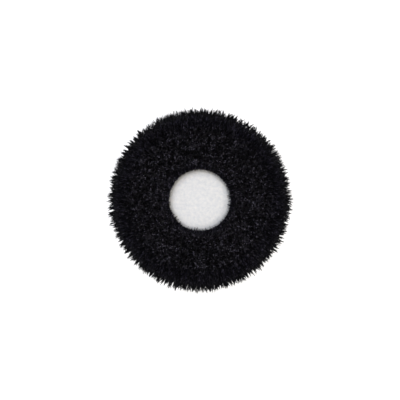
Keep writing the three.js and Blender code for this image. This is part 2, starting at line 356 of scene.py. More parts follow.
def slotted_tube(name, inner_r, wall, low, high, slot_low, slot_high):
    """A tube wall with evenly spaced upright slots, as a closed mesh."""
    verts, faces = [], []
    unit = SLOT_COLUMNS + POST_COLUMNS
    columns = CAGE_SLOTS * unit
    half = math.asin(SLOT_WIDTH / 2 / (inner_r + wall / 2))
    levels = (low, slot_low, slot_high, high)
    pitch = 2 * math.pi / CAGE_SLOTS
    marks = []
    for s in range(CAGE_SLOTS):
        centre = s * pitch
        marks += [centre - half + 2 * half * k / SLOT_COLUMNS for k in range(SLOT_COLUMNS)]
        marks += [centre + half + (pitch - 2 * half) * k / POST_COLUMNS for k in range(POST_COLUMNS)]
    for angle in marks:
        for r in (inner_r, inner_r + wall):
            verts += [(r * MM * math.cos(angle), r * MM * math.sin(angle), z * MM) for z in levels]

    def at(column, side, level):
        return (column % columns) * 8 + side * 4 + level

    def is_open(column):
        return column % unit < SLOT_COLUMNS

    for c in range(columns):
        n = c + 1
        for level in range(3):
            if level == 1 and is_open(c):
                continue
            faces.append((at(c, 1, level), at(n, 1, level), at(n, 1, level + 1), at(c, 1, level + 1)))
            faces.append((at(n, 0, level), at(c, 0, level), at(c, 0, level + 1), at(n, 0, level + 1)))
        faces.append((at(c, 0, 0), at(n, 0, 0), at(n, 1, 0), at(c, 1, 0)))
        faces.append((at(c, 1, 3), at(n, 1, 3), at(n, 0, 3), at(c, 0, 3)))
        if is_open(c):
            faces.append((at(c, 1, 1), at(n, 1, 1), at(n, 0, 1), at(c, 0, 1)))
            faces.append((at(c, 0, 2), at(n, 0, 2), at(n, 1, 2), at(c, 1, 2)))
            if c % unit == 0:
                faces.append((at(c, 0, 1), at(c, 0, 2), at(c, 1, 2), at(c, 1, 1)))
            if c % unit == SLOT_COLUMNS - 1:
                faces.append((at(n, 1, 1), at(n, 1, 2), at(n, 0, 2), at(n, 0, 1)))
    mesh = bpy.data.meshes.new(name)
    mesh.from_pydata(verts, [], faces)
    mesh.update()
    return mesh


def joined(name, *meshes):
    """One mesh that holds several closed ones."""
    work = bmesh.new()
    for mesh in meshes:
        work.from_mesh(mesh)
    whole = bpy.data.meshes.new(name)
    work.to_mesh(whole)
    work.free()
    return whole


cap_r, cap_low, cap_high = node_size("cage_cap")
cage_in = cap_r - CAGE_WALL
foot_line = [(foot_r, foot_low), (foot_r, boss_top), (COLLAR_WALL_R + FIT, boss_top),
             (COLLAR_WALL_R + FIT, foot_low)]
tube = slotted_tube("cage_tube", cage_in, CAGE_WALL, boss_top - TUBE_SUNK, foot_top,
                    boss_top + SLOT_END, foot_top - SLOT_END)
clean_up(tube)
cage_mesh = joined("cage", turned_mesh("cage_foot", softened(foot_line, 0.3)), tube)
cage = add_piece(cage_mesh, "base", "cage_plastic", "capsule_cage", nylon, smooth=False)
edge = cage.modifiers.new("edges", "BEVEL")
edge.width = 0.2 * MM
edge.segments = 2
edge.limit_method = "ANGLE"
edge.angle_limit = math.radians(40)

cap_curve = bpy.data.curves.new("cap_plate", "CURVE")
cap_curve.dimensions = "2D"
cap_curve.fill_mode = "BOTH"
cap_curve.extrude = (CAP_PLATE / 2 - CAP_EDGE) * MM
cap_curve.bevel_depth = CAP_EDGE * MM
cap_curve.bevel_resolution = 1
rounds = [(0.0, 0.0, cap_r - CAP_EDGE, 72), (0.0, 0.0, CAP_HOLE_R, 24)]
for k in range(CAP_HOLES):
    angle = k * 2 * math.pi / CAP_HOLES
    rounds.append((CAP_PITCH_R * math.cos(angle), CAP_PITCH_R * math.sin(angle), CAP_HOLE_R, 24))
for x, y, r, count in rounds:
    spline = cap_curve.splines.new("POLY")
    spline.points.add(count - 1)
    spline.use_cyclic_u = True
    for k, point in enumerate(spline.points):
        angle = k * 2 * math.pi / count
        point.co = ((x + r * math.cos(angle)) * MM, (y + r * math.sin(angle)) * MM, 0, 1)
flat = bpy.data.objects.new("cap_flat", cap_curve)
scene.collection.objects.link(flat)
bpy.context.view_layer.update()
plate = bpy.data.meshes.new_from_object(flat.evaluated_get(bpy.context.evaluated_depsgraph_get()))
bpy.data.objects.remove(flat)
for vertex in plate.vertices:
    vertex.co.z += (cap_high - CAP_PLATE / 2) * MM
clean_up(plate)
spigot_r = cage_in - FIT
spigot_line = [(spigot_r, cap_low), (spigot_r, cap_low + CAP_SPIGOT_DEEP),
               (spigot_r - CAGE_WALL, cap_low + CAP_SPIGOT_DEEP), (spigot_r - CAGE_WALL, cap_low)]
cap_mesh = joined("cap", plate, turned_mesh("cap_spigot", softened(spigot_line, 0.2, 2), 72))
cap_mesh.materials.clear()
add_piece(cap_mesh, "base", "cage_plastic", "cage_cap", nylon, smooth=False)


# Hook tape. A woven nylon band glued round the tray's rim, with short stiff hooks that
# hold the jacket's loop tape.
HOOK_TAPE_THICK = 1.2  # with its hooks
HOOK_REACH = 0.6


def bent_rod(verts, faces, tones, points, radii, tone):
    """A closed three-sided rod through points in mm. A last radius of 0 makes it pointed.

    tone holds shades from 0 to 1 for the rod's lower part, its last part and its cut end.
    """
    base = len(verts)
    points = [Vector(p) for p in points]
    last = len(points) - 1
    rings = last if radii[-1] == 0 else last + 1
    ahead = (points[-1] - points[0]).normalized()
    across = ahead.cross(Vector((0.31, 0.83, 0.46))).normalized()
    for k in range(rings):
        run = (points[min(k + 1, last)] - points[max(k - 1, 0)]).normalized()
        across = (across - run * across.dot(run)).normalized()
        beside = run.cross(across)
        for corner in range(3):
            angle = corner * 2 * math.pi / 3
            off = across * math.cos(angle) + beside * math.sin(angle)
            verts.append(tuple(points[k] + off * radii[k]))
    for k in range(rings - 1):
        for corner in range(3):
            n = (corner + 1) % 3
            low, high = base + 3 * k, base + 3 * k + 3
            faces.append((low + corner, low + n, high + n, high + corner))
            tones.append(tone[0] if k < last - 1 else tone[1])
    top = base + 3 * (rings - 1)
    if radii[-1] == 0:
        verts.append(tuple(points[-1]))
        for corner in range(3):
            faces.append((top + corner, top + (corner + 1) % 3, top + 3))
            tones.append(tone[1])
    else:
        faces.append((top, top + 1, top + 2))
        tones.append(tone[2])
    faces.append((base + 2, base + 1, base))
    tones.append(tone[0])


def rod_mesh(name, verts, faces, tones):
    """A mesh in metres from rods in mm, with each face's shade as an attribute."""
    mesh = bpy.data.meshes.new(name)
    mesh.from_pydata([[c * MM for c in v] for v in verts], [], faces)
    shade = mesh.attributes.new("tone", "FLOAT", "FACE")
    shade.data.foreach_set("value", tones)
    mesh.update()
    return mesh


def plain_rod(name, points, radii):
    """One rod in a mesh of its own, in a single shade."""
    verts, faces, tones = [], [], []
    bent_rod(verts, faces, tones, points, radii, (1.0, 1.0, 1.0))
    return rod_mesh(name, verts, faces, tones)


def family_of(name, meshes):
    """A hidden collection of meshes to scatter from."""
    family = bpy.data.collections.new(name)
    for k, mesh in enumerate(meshes):
        family.objects.link(bpy.data.objects.new(f"{name}_{k}", mesh))
    return family


def scatter_tree(name, shades):
    """Geometry Nodes: rods scattered over a carrier, their tips on it and their roots below.

    shades lists (lowest tone, material), so that one lock carries several shades.
    """
    tree = bpy.data.node_groups.new(name, "GeometryNodeTree")
    sockets = tree.interface
    sockets.new_socket("Carrier", in_out="INPUT", socket_type="NodeSocketGeometry")
    for label, kind in (("Locks", "Collection"), ("Spacing", "Float"), ("Density", "Float"),
                        ("Seed", "Int"), ("Lean", "Float"), ("Short", "Float"), ("Long", "Float")):
        sockets.new_socket(label, in_out="INPUT", socket_type="NodeSocket" + kind)
    sockets.new_socket("Pile", in_out="OUTPUT", socket_type="NodeSocketGeometry")
    given = add_node(tree, "NodeGroupInput").outputs
    spread = add_node(tree, "GeometryNodeDistributePointsOnFaces", {
        "Mesh": given["Carrier"], "Distance Min": given["Spacing"],
        "Density Max": given["Density"], "Seed": given["Seed"]}, distribute_method="POISSON")
    kinds = add_node(tree, "GeometryNodeCollectionInfo", {
        "Collection": given["Locks"], "Separate Children": True, "Reset Children": True})

    def random_value(kind, low, high, offset):
        seed = add_node(tree, "ShaderNodeMath", {0: given["Seed"], 1: offset}, operation="ADD")
        start = {"FLOAT": 2, "FLOAT_VECTOR": 0, "INT": 4}[kind]
        node = add_node(tree, "FunctionNodeRandomValue", {
            start: low, start + 1: high, "Seed": seed.outputs[0]}, data_type=kind)
        return node.outputs[{"FLOAT": 1, "FLOAT_VECTOR": 0, "INT": 2}[kind]]

    minus = add_node(tree, "ShaderNodeMath", {0: given["Lean"], 1: -1.0}, operation="MULTIPLY")
    low = add_node(tree, "ShaderNodeCombineXYZ", {
        0: minus.outputs[0], 1: minus.outputs[0], 2: -math.pi})
    high = add_node(tree, "ShaderNodeCombineXYZ", {0: given["Lean"], 1: given["Lean"], 2: math.pi})
    sway = random_value("FLOAT_VECTOR", low.outputs[0], high.outputs[0], 11.0)
    upright = add_node(tree, "FunctionNodeAlignRotationToVector", {
        "Vector": spread.outputs["Normal"]}, axis="Z")
    sway_turn = add_node(tree, "FunctionNodeEulerToRotation", {"Euler": sway})
    turned = add_node(tree, "FunctionNodeRotateRotation", {
        "Rotation": upright.outputs[0], "Rotate By": sway_turn.outputs[0]}, rotation_space="LOCAL")
    placed = add_node(tree, "GeometryNodeInstanceOnPoints", {
        "Points": spread.outputs["Points"], "Instance": kinds.outputs[0], "Pick Instance": True,
        "Instance Index": random_value("INT", 0, 63, 13.0), "Rotation": turned.outputs[0]})
    reach = add_node(tree, "ShaderNodeMath", {
        0: random_value("FLOAT", given["Short"], given["Long"], 14.0),
        1: random_value("FLOAT", given["Short"], given["Long"], 15.0)}, operation="ADD")
    reach = add_node(tree, "ShaderNodeMath", {0: reach.outputs[0], 1: 0.5}, operation="MULTIPLY")
    outward = add_node(tree, "ShaderNodeCombineXYZ", {2: reach.outputs[0]})
    moved = add_node(tree, "GeometryNodeTranslateInstances", {
        "Instances": placed.outputs[0], "Translation": outward.outputs[0], "Local Space": True})
    real = add_node(tree, "GeometryNodeRealizeInstances", {"Geometry": moved.outputs[0]})
    tone = add_node(tree, "GeometryNodeInputNamedAttribute", {"Name": "tone"}, data_type="FLOAT")
    flow = real
    for level, mat in shades:
        over = add_node(tree, "ShaderNodeMath", {0: tone.outputs[0], 1: level},
                        operation="GREATER_THAN")
        flow = add_node(tree, "GeometryNodeSetMaterial", {
            "Geometry": flow.outputs[0], "Selection": over.outputs[0], "Material": mat})
    add_node(tree, "NodeGroupOutput", {0: flow.outputs[0]})
    return tree


def set_and_apply(name, base_mesh, tree, **given):
    """Runs a node tree on a mesh with its inputs set and returns the plain mesh it makes."""
    holder = bpy.data.objects.new(name + "_carrier", base_mesh)
    scene.collection.objects.link(holder)
    modifier = holder.modifiers.new("scatter", "NODES")
    modifier.node_group = tree
    sockets = {s.name: s.identifier for s in tree.interface.items_tree if s.in_out == "INPUT"}
    for label, value in given.items():
        modifier[sockets[label]] = value
    bpy.context.view_layer.update()
    evaluated = holder.evaluated_get(bpy.context.evaluated_depsgraph_get())
    mesh = bpy.data.meshes.new_from_object(evaluated)
    mesh.name = name
    if "tone" in mesh.attributes:
        mesh.attributes.remove(mesh.attributes["tone"])
    bpy.data.objects.remove(holder)
    return mesh


WAVE_REPEAT = 0.314  # how often a wave texture repeats at a scale of 1


def band_material(name, dark, light, thread, roughness, sheen=0.0, height=0.08):
    """Woven or knitted cloth whose threads follow the piece's own map, in mm."""
    mat, tree, shader = new_material(name, dark, roughness, ior=1.5, specular=0.25)
    shader.inputs["Sheen Weight"].default_value = sheen
    place = add_node(tree, "ShaderNodeUVMap", uv_map="along_mm")
    scale = WAVE_REPEAT / thread
    wave = {"Vector": place.outputs[0], "Scale": scale, "Distortion": 0.8, "Detail": 1.0}
    warp = add_node(tree, "ShaderNodeTexWave", wave, bands_direction="X")
    weft = add_node(tree, "ShaderNodeTexWave", wave, bands_direction="Y")
    threads = add_node(tree, "ShaderNodeMath", {
        0: warp.outputs["Fac"], 1: weft.outputs["Fac"]}, operation="MULTIPLY")
    mixed = add_node(tree, "ShaderNodeMath", {
        0: threads.outputs[0], 1: wandering(tree, 5.0, 3.0)}, operation="MULTIPLY")
    finished(tree, shader, mixed.outputs[0], dark, light, threads.outputs[0], 0.6, height)
    return mat


def box_line(inner, outer, low, high):
    """The outline of a plain band."""
    return [(outer, low), (outer, high), (inner, high), (inner, low)]


# Woven nylon tape: black, slightly shiny threads about 0.6 mm apart.
tape_weave = band_material("woven_nylon_tape", "#101012", "#2C2C30", 0.6, 0.6, sheen=0.1)
# Hooks are extruded nylon: smooth, with small sharp glints.
hook_nylon, tree, shader = new_material("extruded_hook_nylon", "#1C1C1F", 0.35, ior=1.53)
uneven_gloss(tree, shader, 1.5, 0.28, 0.45)
tape_r, tape_low, tape_high = node_size("hook_tape")
hook_band_line = box_line(tape_r - HOOK_TAPE_THICK, tape_r - HOOK_REACH, tape_low, tape_high)
hook_band = turned_mesh("hook_tape_band", softened(hook_band_line, 0.15, 2))
hook_rng = random.Random(41)
hooks = []
for k in range(3):
    curl = hook_rng.uniform(0.18, 0.24)
    points = [(0, 0, -HOOK_REACH - 0.1), (0, 0, -0.25), (curl * 0.3, 0, -0.05), (curl, 0, 0.0),
              (curl * 1.6, 0, -0.1), (curl * 1.7, 0, -0.22)]
    hooks.append(plain_rod(f"hook_{k}", points, (0.1, 0.09, 0.08, 0.08, 0.07, 0.0)))
hook_tree = scatter_tree("hook_scatter", [(-1.0, hook_nylon)])
hook_line = [(tape_r - 0.02, tape_low + 0.4), (tape_r - 0.02, tape_high - 0.4)]
hook_mesh = set_and_apply(
    "hook_tape_hooks", turned_mesh("hook_carrier", hook_line, 96, closed=False), hook_tree,
    Locks=family_of("hook_family", hooks), Spacing=1.1 * MM, Density=1.2e6, Seed=7, Lean=0.15,
    Short=-0.05 * MM, Long=0.0)
add_piece(hook_band, "base", "closure_tape", "hook_tape", tape_weave)
add_piece(hook_mesh, "base", "closure_tape", "hook_tape", smooth=False)


# Foam core. A thick cup of white open-cell polyurethane foam, cut and bonded, with a step
# that sits inside the tray's rim and a socket for the cage.
STEP_TOP = 9.3
STEP_R = 30.2
CORE_ROUND = 5.0
SOCKET_R = 20.6
SOCKET_STEP = 6.4
BORE_CLEAR_R = 16.8
BORE_TOP = 25.9
RECESS_R = 19.3
RECESS_FLOOR = 30.7
CELL = 0.7
FOAM_SKIN = 0.14


def arc_points(centre, radius, start, end, steps):
    """[radius, height] points on an arc, its angles in degrees from straight out."""
    points = []
    for k in range(steps + 1):
        angle = math.radians(start + (end - start) * k / steps)
        points.append((centre[0] + radius * math.cos(angle), centre[1] + radius * math.sin(angle)))
    return points


def resampled(outline, spacing):
    """A closed outline with extra points, so that no span is much longer than spacing."""
    points = []
    for k, here in enumerate(outline):
        ahead = outline[(k + 1) % len(outline)]
        parts = max(1, round(math.dist(here, ahead) / spacing))
        for p in range(parts):
            t = p / parts
            points.append((here[0] + (ahead[0] - here[0]) * t, here[1] + (ahead[1] - here[1]) * t))
    return points


# Open-cell foam: warm white, no gloss, with cells about 0.7 mm wide whose hollows are sunk and also
# darkened in colour as painted shade, and a little light let through at the edges.
foam_white, tree, shader = new_material("open_cell_pu_foam", "#E9E8E3", 0.95, ior=1.4, specular=0.2)
shader.inputs["Subsurface Weight"].default_value = 0.12
shader.inputs["Subsurface Radius"].default_value = (1.2 * MM, 1.1 * MM, 1.0 * MM)
coords = add_node(tree, "ShaderNodeTexCoord")
cells = add_node(tree, "ShaderNodeTexVoronoi", {
    "Vector": coords.outputs["Object"], "Scale": 1 / (CELL * MM)}, feature="F1")
# The distance from each cell's centre sets the relief and a painted shade that darkens the cell hollows.
pit_depth_and_shade = cells.outputs["Distance"]
finished(tree, shader, pit_depth_and_shade, "#D9D9D7", "#F0F0EE", pit_depth_and_shade, 0.7, 0.25)

core_r, core_low, core_top = node_size("foam_core")
core_line = [(STEP_R, core_low), (STEP_R, STEP_TOP), (core_r, STEP_TOP)]
core_line += arc_points((core_r - CORE_ROUND, core_top - CORE_ROUND), CORE_ROUND, 0, 90, 6)
core_line += [(RECESS_R, core_top), (RECESS_R, RECESS_FLOOR), (0, RECESS_FLOOR), (0, BORE_TOP),
              (BORE_CLEAR_R, BORE_TOP), (BORE_CLEAR_R, SOCKET_STEP), (SOCKET_R, SOCKET_STEP),
              (SOCKET_R, core_low)]
core_mesh = turned_mesh("core_foam", resampled(core_line, 1.0), 160)
clean_up(core_mesh)
for vertex in core_mesh.vertices:
    out = vertex.normal
    wobble = noise.noise(vertex.co / (2.2 * MM)) + 0.7 * noise.noise(vertex.co / (0.9 * MM))
    vertex.co -= out * FOAM_SKIN * MM * (0.5 + 0.5 * wobble)
core_mesh.update()
core = add_piece(core_mesh, "core", "white_foam", "foam_core", foam_white)


# Face pad. White needle-punched fleece over wadding, sewn flat at its edge and sunk into
# the foam, so that its middle swells a little inside the window.
PAD_CROWN_R = 14.9
PAD_FLANGE = 1.1
SIM_SCALE = 10.0  # the cloth is solved ten times larger and brought back
PAD_PRESSURE = 4.0
PAD_MOST = 0.12  # the most that the pressure may move the fleece
SIM_FRAMES = 20
pad_r, pad_low, pad_top = node_size("face_pad")
CROWN_RISE = pad_top - pad_low - PAD_FLANGE
crown_reaches = [PAD_CROWN_R * (1 - (k / 14) ** 2.2) for k in range(15)]


def crown_share(reach):
    """How much of the crown's rise there is at a radius: flat in the middle, quick at the edge."""
    return max(0.0, 1 - (reach / PAD_CROWN_R) ** 18) ** 0.6


pad_line = [(0, pad_low + 0.05), (pad_r - 0.4, pad_low + 0.05), (pad_r - 0.1, pad_low + 0.4),
            (pad_r - 0.1, pad_low + 0.8), (pad_r - 0.5, pad_low + 1.0), (16.0, pad_low + 1.0)]
for reach in crown_reaches:
    bulge = (CROWN_RISE - 0.4) * crown_share(reach)
    pad_line.append((reach, pad_low + PAD_FLANGE - 0.1 + bulge))
pad_mesh = turned_mesh("pad", resampled(pad_line, 0.9), 96)
clean_up(pad_mesh)
for vertex in pad_mesh.vertices:
    vertex.co *= SIM_SCALE
pad = bpy.data.objects.new("pad_fleece", pad_mesh)
scene.collection.objects.link(pad)
bpy.context.view_layer.objects.active = pad
pad.select_set(True)
remesh = pad.modifiers.new("remesh", "REMESH")
remesh.mode = "VOXEL"
remesh.voxel_size = 0.55 * MM * SIM_SCALE
bpy.ops.object.modifier_apply(modifier=remesh.name)
held = pad.vertex_groups.new(name="held")
for vertex in pad.data.vertices:
    reach = math.hypot(vertex.co.x, vertex.co.y) / MM / SIM_SCALE
    sewn = reach > PAD_CROWN_R or vertex.co.z < (pad_low + 0.6) * MM * SIM_SCALE
    held.add([vertex.index], 1.0 if sewn else 0.0, "REPLACE")
before = [vertex.co.copy() for vertex in pad.data.vertices]
cloth = pad.modifiers.new("cloth", "CLOTH")
cloth.settings.use_pressure = True
cloth.settings.uniform_pressure_force = PAD_PRESSURE
cloth.settings.effector_weights.gravity = 0
cloth.settings.vertex_group_mass = held.name
cloth.point_cache.frame_start = 1
cloth.point_cache.frame_end = SIM_FRAMES
for step in range(1, SIM_FRAMES + 1):
    scene.frame_set(step)
bpy.context.view_layer.update()
swollen = pad.evaluated_get(bpy.context.evaluated_depsgraph_get()).data
moved_to = [vertex.co.copy() for vertex in swollen.vertices]
pad.modifiers.remove(cloth)
most = PAD_MOST * MM * SIM_SCALE
for vertex, old, new in zip(pad.data.vertices, before, moved_to):
    shift = new - old
    if shift.length > most:
        shift = shift.normalized() * most
    vertex.co = old + shift
pad.vertex_groups.clear()
scene.frame_set(1)
for vertex in pad.data.vertices:
    vertex.co /= SIM_SCALE
for vertex in pad.data.vertices:
    felted = noise.noise(vertex.co / (1.6 * MM)) + 0.6 * noise.noise(vertex.co / (0.7 * MM))
    if vertex.co.z > (pad_low + 0.9) * MM:
        vertex.co.z += 0.05 * MM * felted
pad.data.update()
smooth = pad.modifiers.new("smooth", "SUBSURF")
smooth.levels = 1
smooth.render_levels = 1
for face in pad.data.polygons:
    face.use_smooth = True

# Needle-punched polyester fleece: bright white with no gloss, slightly mottled where the
# fibres bunch, about 1 mm across, and soft in the light.
fleece, tree, shader = new_material("needled_white_fleece", "#DCDDDE", 0.95, ior=1.45, specular=0.15)
shader.inputs["Sheen Weight"].default_value = 0.15
shader.inputs["Sheen Roughness"].default_value = 0.6
bunched = wandering(tree, 1.6, 4.0, Roughness=0.65)
spread_out = add_node(tree, "ShaderNodeMapRange", {
    "Value": bunched, "From Min": 0.3, "From Max": 0.7})
finished(tree, shader, spread_out.outputs[0], "#D3D6DA", "#EBEAE8", bunched, 0.5, 0.3)
pad.data.materials.clear()
pad.data.materials.append(fleece)
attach(pad, "core")
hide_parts("face_pad")

# Loose fibre ends stand up from the fleece, mostly toward its edge.
fuzz_white, tree, shader = new_material("white_polyester_fibre", "#E2E3E4", 0.8, specular=0.2)
uneven_gloss(tree, shader, 1.0, 0.65, 0.9)
FUZZ_LENGTH = 0.9
fuzz_rng = random.Random(17)
tufts = []
for k in range(6):
    verts, faces, tones = [], [], []
    for _ in range(2):
        angle = fuzz_rng.uniform(0, 2 * math.pi)
        reach = fuzz_rng.uniform(0.2, 0.7)
        x, y = reach * math.cos(angle), reach * math.sin(angle)
        points = [(0, 0, -FUZZ_LENGTH), (0.3 * x, 0.3 * y, -FUZZ_LENGTH * 0.4), (x, y, 0)]
        bent_rod(verts, faces, tones, points, (0.05, 0.04, 0.0), (1.0, 1.0, 1.0))
    tufts.append(rod_mesh(f"fuzz_{k}", verts, faces, tones))
fuzz_tree = scatter_tree("fuzz_scatter", [(-1.0, fuzz_white)])
crown_line = [(PAD_CROWN_R + 0.6, pad_low + PAD_FLANGE + 0.35)]
for reach in crown_reaches:
    crown_line.append((reach + 0.05, pad_low + PAD_FLANGE + 0.3 + (CROWN_RISE - 0.1) * crown_share(reach)))
fuzz_mesh = set_and_apply(
    "pad_fuzz", turned_mesh("fuzz_carrier", crown_line, 96, closed=False), fuzz_tree,
    Locks=family_of("fuzz_family", tufts), Spacing=0.55 * MM, Density=1.8e6, Seed=5, Lean=0.7,
    Short=-0.5 * MM, Long=-0.1 * MM)
add_piece(fuzz_mesh, "core", "white_fleece", "face_pad", smooth=False)


# Jacket ground. The knitted polyester back of the fur fabric, in two pieces: a round front
# with the window cut in it, and a side band that flares at its foot over the tapes.
GROUND_THICK = 1.2
FLARE_TOP = 13.0
FLARE_FOOT = 10.0
WINDOW_CUT_R = 16.1

# Tricot-knit backing: flat black, with stitches 0.9 mm apart that show inside the jacket.
tricot = band_material("tricot_knit_backing", "#09090A", "#161618", 0.9, 0.95, height=0.15)
front_r, front_low, front_high = node_size("front_ground")
side_r, side_low, side_high = node_size("side_ground")
ground_line = resampled(box_line(WINDOW_CUT_R, front_r, front_low, front_high), 3.0)
add_piece(turned_mesh("ground_front", softened(ground_line, 0.2, 2)), "jacket", "knit_backing",
          "front_ground", tricot)
wall_r = front_r
side_line = [
    (wall_r, side_high), (wall_r - GROUND_THICK, side_high), (wall_r - GROUND_THICK, FLARE_TOP),
    (side_r - GROUND_THICK, FLARE_FOOT), (side_r - GROUND_THICK, side_low), (side_r, side_low),
    (side_r, FLARE_FOOT), (wall_r, FLARE_TOP),
]
side_mesh = turned_mesh("ground_side", softened(side_line, 0.3))
clean_up(side_mesh)
add_piece(side_mesh, "jacket", "knit_backing", "side_ground", tricot)


# Rim seam. Where the front and the side band are sewn together, inside out: a folded seam
# allowance bound with overlock thread.
SEAM_STITCHES = 110
seam_r, seam_low, seam_high = node_size("rim_seam")


def ring_tree(name, mat):
    """Geometry Nodes: copies of one part set at even steps round a circle."""
    tree = bpy.data.node_groups.new(name, "GeometryNodeTree")
    sockets = tree.interface
    sockets.new_socket("Part", in_out="INPUT", socket_type="NodeSocketGeometry")
    for label, kind in (("Count", "Int"), ("Radius", "Float"), ("Height", "Float")):
        sockets.new_socket(label, in_out="INPUT", socket_type="NodeSocket" + kind)
    sockets.new_socket("Ring", in_out="OUTPUT", socket_type="NodeSocketGeometry")
    given = add_node(tree, "NodeGroupInput").outputs
    line = add_node(tree, "GeometryNodeCurvePrimitiveCircle", {
        "Resolution": 128, "Radius": given["Radius"]}, mode="RADIUS")
    lift = add_node(tree, "ShaderNodeCombineXYZ", {2: given["Height"]})
    raised = add_node(tree, "GeometryNodeTransform", {
        "Geometry": line.outputs[0], "Translation": lift.outputs[0]})
    spots = add_node(tree, "GeometryNodeCurveToPoints", {
        "Curve": raised.outputs[0], "Count": given["Count"]}, mode="COUNT")
    around = add_node(tree, "GeometryNodeInputPosition")
    flat = add_node(tree, "ShaderNodeSeparateXYZ", {0: around.outputs[0]})
    angle = add_node(tree, "ShaderNodeMath", {
        0: flat.outputs[1], 1: flat.outputs[0]}, operation="ARCTAN2")
    facing = add_node(tree, "ShaderNodeCombineXYZ", {2: angle.outputs[0]})
    euler = add_node(tree, "FunctionNodeEulerToRotation", {"Euler": facing.outputs[0]})
    placed = add_node(tree, "GeometryNodeInstanceOnPoints", {
        "Points": spots.outputs[0], "Instance": given["Part"], "Rotation": euler.outputs[0]})
    real = add_node(tree, "GeometryNodeRealizeInstances", {"Geometry": placed.outputs[0]})
    done = add_node(tree, "GeometryNodeSetMaterial", {"Geometry": real.outputs[0], "Material": mat})
    add_node(tree, "NodeGroupOutput", {0: done.outputs[0]})
    return tree


def stitch(name, points, thick):
    """One stitch of thread: a short rod bent over the cloth, x pointing away from the axis."""
    return plain_rod(name, points, [thick * 0.7] + [thick] * (len(points) - 2) + [thick * 0.7])


# Spun polyester thread: a little shinier than the cloth, so that each stitch reads.
thread_black, tree, shader = new_material("spun_polyester_thread", "#222226", 0.5, specular=0.4)
uneven_gloss(tree, shader, 0.5, 0.4, 0.65)
roll_line = box_line(seam_r - 1.1, seam_r - 0.1, seam_low + 0.1, seam_high - 0.1)
add_piece(turned_mesh("seam_roll", softened(roll_line, 0.4, 4)), "jacket", "knit_backing", "rim_seam",
          tricot)
over = stitch("overlock", [(-1.15, 0, -0.3), (-1.1, 0.15, 0.35), (-0.55, 0.3, 0.52), (-0.05, 0.45, 0.3),
                           (-0.02, 0.5, -0.3)], 0.09)
thread_tree = ring_tree("stitch_ring", thread_black)
seam_thread = set_and_apply("seam_thread", over, thread_tree, Count=SEAM_STITCHES,
                            Radius=(seam_r - 0.02) * MM, Height=(seam_low + seam_high) / 2 * MM)
add_piece(seam_thread, "jacket", "knit_backing", "rim_seam", smooth=False)


# Window binding. Folded twill tape sewn over the raw edge of the window with one row of
# lockstitch. The fur round it hides all but its inner edge.
BINDING_FOLD = 0.6
BINDING_STITCHES = 84
BINDING_IN_R = 15.2
bind_r, bind_low, bind_high = node_size("window_binding")
web_r = BINDING_IN_R + BINDING_FOLD
bind_line = [
    (bind_r, bind_low), (bind_r, bind_low + BINDING_FOLD), (web_r, bind_low + BINDING_FOLD),
    (web_r, bind_high - BINDING_FOLD), (bind_r, bind_high - BINDING_FOLD), (bind_r, bind_high),
    (BINDING_IN_R, bind_high), (BINDING_IN_R, bind_low),
]
# Cotton-rich twill tape: matt black with fine ribs 0.5 mm apart.
twill = band_material("cotton_twill_tape", "#0B0B0C", "#202022", 0.5, 0.85, sheen=0.1)
add_piece(turned_mesh("binding_tape", softened(bind_line, 0.18, 2)), "jacket", "binding_tape",
          "window_binding", twill)
lock = stitch("lockstitch", [(0, -0.42, -0.1), (0, -0.2, 0.06), (0, 0.2, 0.06), (0, 0.42, -0.1)], 0.09)
lock_mesh = set_and_apply("binding_thread", lock, thread_tree, Count=BINDING_STITCHES,
                          Radius=(bind_r - 0.8) * MM, Height=(bind_low - 0.02) * MM)
add_piece(lock_mesh, "jacket", "binding_tape", "window_binding", smooth=False)


# Hem casing and elastic. A channel of thin woven tape gathered round the jacket's foot by
# a covered elastic cord.
CASING_WALL = 0.7
GATHERS = 54
GATHER_DEEP = 0.16
ELASTIC_R = 0.7
HEM_IN_R = 34.6
hem_r, hem_low, hem_high = node_size("hem_casing")
hem_line = [
    (hem_r, hem_low), (hem_r, hem_high), (hem_r - CASING_WALL, hem_high),
    (hem_r - CASING_WALL, hem_low + CASING_WALL), (HEM_IN_R + CASING_WALL, hem_low + CASING_WALL),
    (HEM_IN_R + CASING_WALL, hem_high), (HEM_IN_R, hem_high), (HEM_IN_R, hem_low),
]
# Plain-woven casing tape: black threads 0.4 mm apart, a little shine along the gathers.
casing_weave = band_material("woven_casing_tape", "#0E0E10", "#28282C", 0.4, 0.65, sheen=0.2)
hem_mesh = turned_mesh("hem_tape", softened(hem_line, 0.2, 2), GATHERS * 6)
for vertex in hem_mesh.vertices:
    reach = math.hypot(vertex.co.x, vertex.co.y) / MM
    angle = math.atan2(vertex.co.y, vertex.co.x)
    if reach > hem_r - 1.0:
        drawn = 0.5 - 0.5 * math.cos(GATHERS * angle + 1.3 * math.sin(5 * angle))
        scale = 1 - GATHER_DEEP * drawn / reach
        vertex.co.x *= scale
        vertex.co.y *= scale
hem_mesh.update()
add_piece(hem_mesh, "jacket", "binding_tape", "hem_casing", casing_weave)

# Braided polyester over rubber: a dark cord with a fine helical rib.
braid = band_material("braided_elastic", "#151517", "#34343A", 0.45, 0.55, sheen=0.1)
elastic_low, elastic_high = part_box("hem_elastic")
elastic_at = (elastic_high[0] / MM - ELASTIC_R, (elastic_low[2] + elastic_high[2]) / 2 / MM)
cord_line = arc_points(elastic_at, ELASTIC_R, 0, 330, 11)
add_piece(turned_mesh("hem_elastic_cord", cord_line, 180), "jacket", "elastic_cord", "hem_elastic",
          braid)


# Loop tape. The soft half of the closure, sewn inside the side band's foot: a woven band
# brushed up into small loops.
LOOP_REACH = 0.5
LOOP_IN_R = 34.3
LOOP_THREAD_R = 0.07
loop_r, loop_low, loop_high = node_size("loop_tape")
